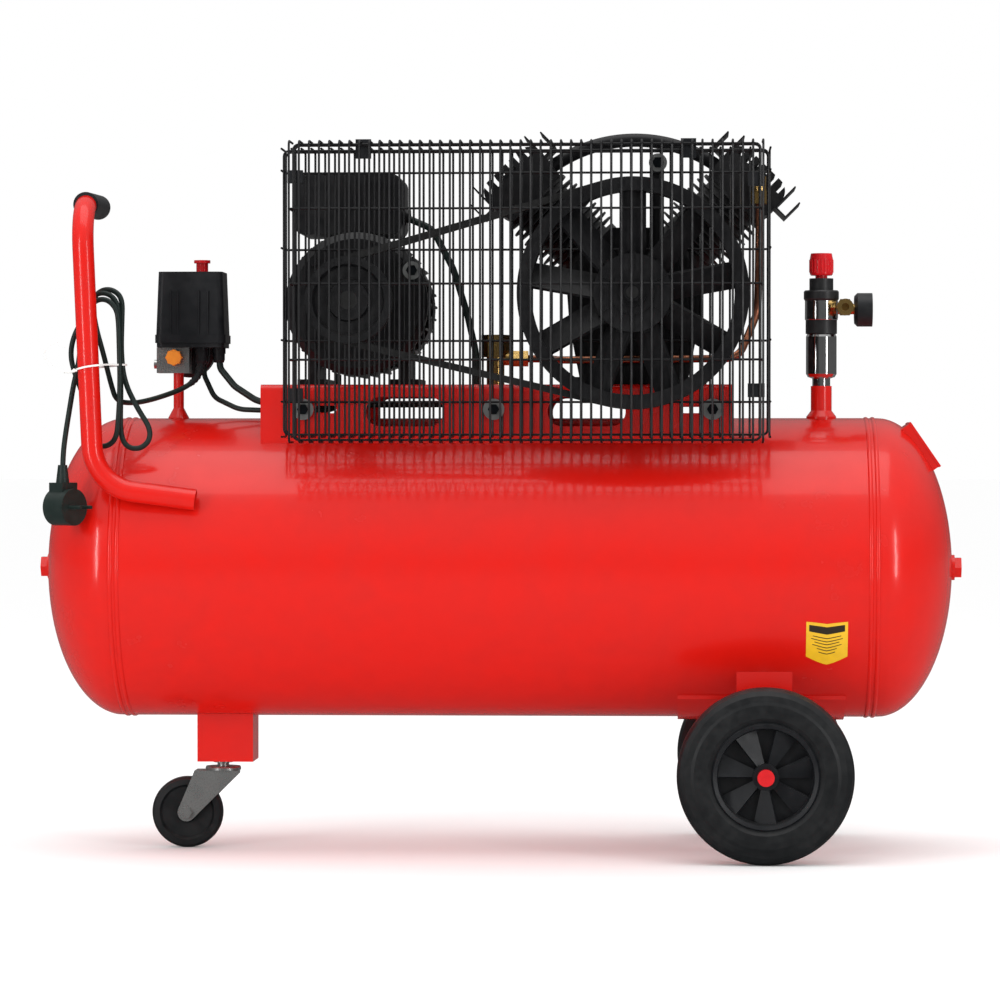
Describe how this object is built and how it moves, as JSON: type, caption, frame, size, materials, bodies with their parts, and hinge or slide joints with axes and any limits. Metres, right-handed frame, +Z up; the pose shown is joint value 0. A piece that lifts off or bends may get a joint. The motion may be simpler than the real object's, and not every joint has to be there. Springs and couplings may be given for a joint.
{
  "type": "air compressor",
  "caption": "Belt-driven workshop air compressor: motor and V-twin pump in a wire guard on a red horizontal tank with wheels, caster and push handle.",
  "frame": {"origin": "on the floor, under the middle of the tank", "axes": "+X along the tank towards the two big wheels' end, +Z up, belt guard on the -Y side"},
  "size_m": [1.238, 0.492, 0.961],
  "materials": {
    "red_paint": "gloss",
    "black_wire": "satin",
    "black_casting": "painted satin",
    "black_motor": "satin",
    "zinc_steel": "zinc plated",
    "plain_steel": "ground",
    "piston_alloy": "machined",
    "copper": "drawn",
    "brass": "machined",
    "chrome": "polished",
    "black_plastic": "moulded",
    "red_plastic": "gloss",
    "orange_plastic": "satin",
    "tyre_rubber": "matte",
    "black_rubber": "matte",
    "cable_rubber": "satin",
    "copper_windings": "lacquered"
  },
  "bodies": {
    "root": {"tank_shell": "red_paint", "tank_ends": "red_paint", "tank_fittings": "red_paint", "platform": "red_paint", "front_leg": "red_paint", "axle_bracket": "red_paint", "axle": "plain_steel", "handle_tube": "red_paint", "handle_grip": "black_rubber", "guard_front_half": "black_wire", "guard_rear_half": "black_wire", "guard_bolts": "zinc_steel", "guard_clips": "black_plastic", "drive_belt": "black_rubber", "motor_frame": "black_motor", "motor_end_shields": "black_motor", "motor_fan_cowl": "black_motor", "motor_stator": "copper_windings", "terminal_box": "black_plastic", "crankcase": "black_casting", "crankcase_cover": "black_casting", "cylinders": "black_casting", "cylinder_heads": "black_casting", "intake_filters": "black_plastic", "crossover_pipe": "black_motor", "oil_fittings": "brass", "delivery_tube": "copper", "check_valve": "brass", "switch_base": "black_plastic", "switch_cover": "black_plastic", "switch_manifold": "zinc_steel", "tank_gauge": "black_plastic", "regulator_body": "black_plastic", "regulator_bowl": "chrome", "outlet_elbow": "brass", "outlet_gauge": "black_plastic", "caster_plate": "zinc_steel", "loom_cables": "cable_rubber", "mains_cord": "cable_rubber", "mains_hank": "cable_rubber", "mains_plug": "black_plastic"},
    "crank_group": {"crankshaft": "plain_steel", "flywheel": "black_casting"},
    "motor_rotating_group": {"motor_rotor": "plain_steel", "motor_pulley": "black_casting", "motor_fan": "black_plastic"},
    "left_piston": {"piston_left": "piston_alloy"},
    "right_piston": {"piston_right": "piston_alloy"},
    "near_wheel": {"near_tyre": "tyre_rubber", "near_hub": "black_plastic"},
    "far_wheel": {"far_tyre": "tyre_rubber", "far_hub": "black_plastic"},
    "caster_swivel": {"caster_fork": "zinc_steel"},
    "caster_roller": {"caster_wheel": "tyre_rubber"},
    "switch_button": {"switch_knob": "red_plastic"},
    "relief_valve": {"safety_valve": "orange_plastic"},
    "tank_needle": {"tank_gauge_needle": "plain_steel"},
    "outlet_needle": {"outlet_gauge_needle": "plain_steel"},
    "pressure_knob": {"regulator_knob": "red_plastic"},
    "drain_screw": {"drain_valve": "brass"}
  },
  "joints": [
    {"name": "flywheel_spin", "type": "hinge", "parent": "root", "child": "crank_group", "pos_m": [0.182, -0.193, 0.74], "axis": [0, -1, 0], "continuous": true},
    {"name": "motor_spin", "type": "hinge", "parent": "root", "child": "motor_rotating_group", "pos_m": [-0.187, -0.193, 0.731], "axis": [0, -1, 0], "continuous": true},
    {"name": "left_piston_slide", "type": "slide", "parent": "root", "child": "left_piston", "axis": [-0.7071, 0, 0.7071], "range_m": [-0.022, 0.022]},
    {"name": "right_piston_slide", "type": "slide", "parent": "root", "child": "right_piston", "axis": [0.7071, 0, 0.7071], "range_m": [-0.022, 0.022]},
    {"name": "near_wheel_spin", "type": "hinge", "parent": "root", "child": "near_wheel", "pos_m": [0.354, -0.2125, 0.115], "axis": [0, 1, 0], "continuous": true},
    {"name": "far_wheel_spin", "type": "hinge", "parent": "root", "child": "far_wheel", "pos_m": [0.354, 0.2125, 0.115], "axis": [0, 1, 0], "continuous": true},
    {"name": "caster_swivel", "type": "hinge", "parent": "root", "child": "caster_swivel", "pos_m": [-0.373, 0, 0.1], "axis": [0, 0, 1], "continuous": true},
    {"name": "caster_wheel_spin", "type": "hinge", "parent": "caster_swivel", "child": "caster_roller", "pos_m": [-0.421, 0, 0.048], "axis": [0, 1, 0], "continuous": true},
    {"name": "switch_button_travel", "type": "slide", "parent": "root", "child": "switch_button", "axis": [0, 0, 1], "range_m": [-0.008, 0]},
    {"name": "relief_valve_pull", "type": "slide", "parent": "root", "child": "relief_valve", "axis": [0, -1, 0], "range_m": [0, 0.003], "stiffness_N_per_m": 300},
    {"name": "tank_needle_turn", "type": "hinge", "parent": "root", "child": "tank_needle", "pos_m": [-0.426, 0.06, 0.671], "axis": [0, 1, 0], "range_deg": [0, 270]},
    {"name": "outlet_needle_turn", "type": "hinge", "parent": "root", "child": "outlet_needle", "pos_m": [0.49, 0, 0.724], "axis": [1, 0, 0], "range_deg": [0, 270]},
    {"name": "regulator_knob_turn", "type": "hinge", "parent": "root", "child": "pressure_knob", "pos_m": [0.432, 0, 0.785], "axis": [0, 0, 1], "range_deg": [0, 720]},
    {"name": "drain_screw_turn", "type": "hinge", "parent": "root", "child": "drain_screw", "pos_m": [0.292, 0, 0.155], "axis": [0, 0, -1], "range_deg": [0, 360]}
  ],
  "couplings": [
    {"joint": "motor_spin", "follows": "flywheel_spin", "ratio": 2.7981}
  ]
}
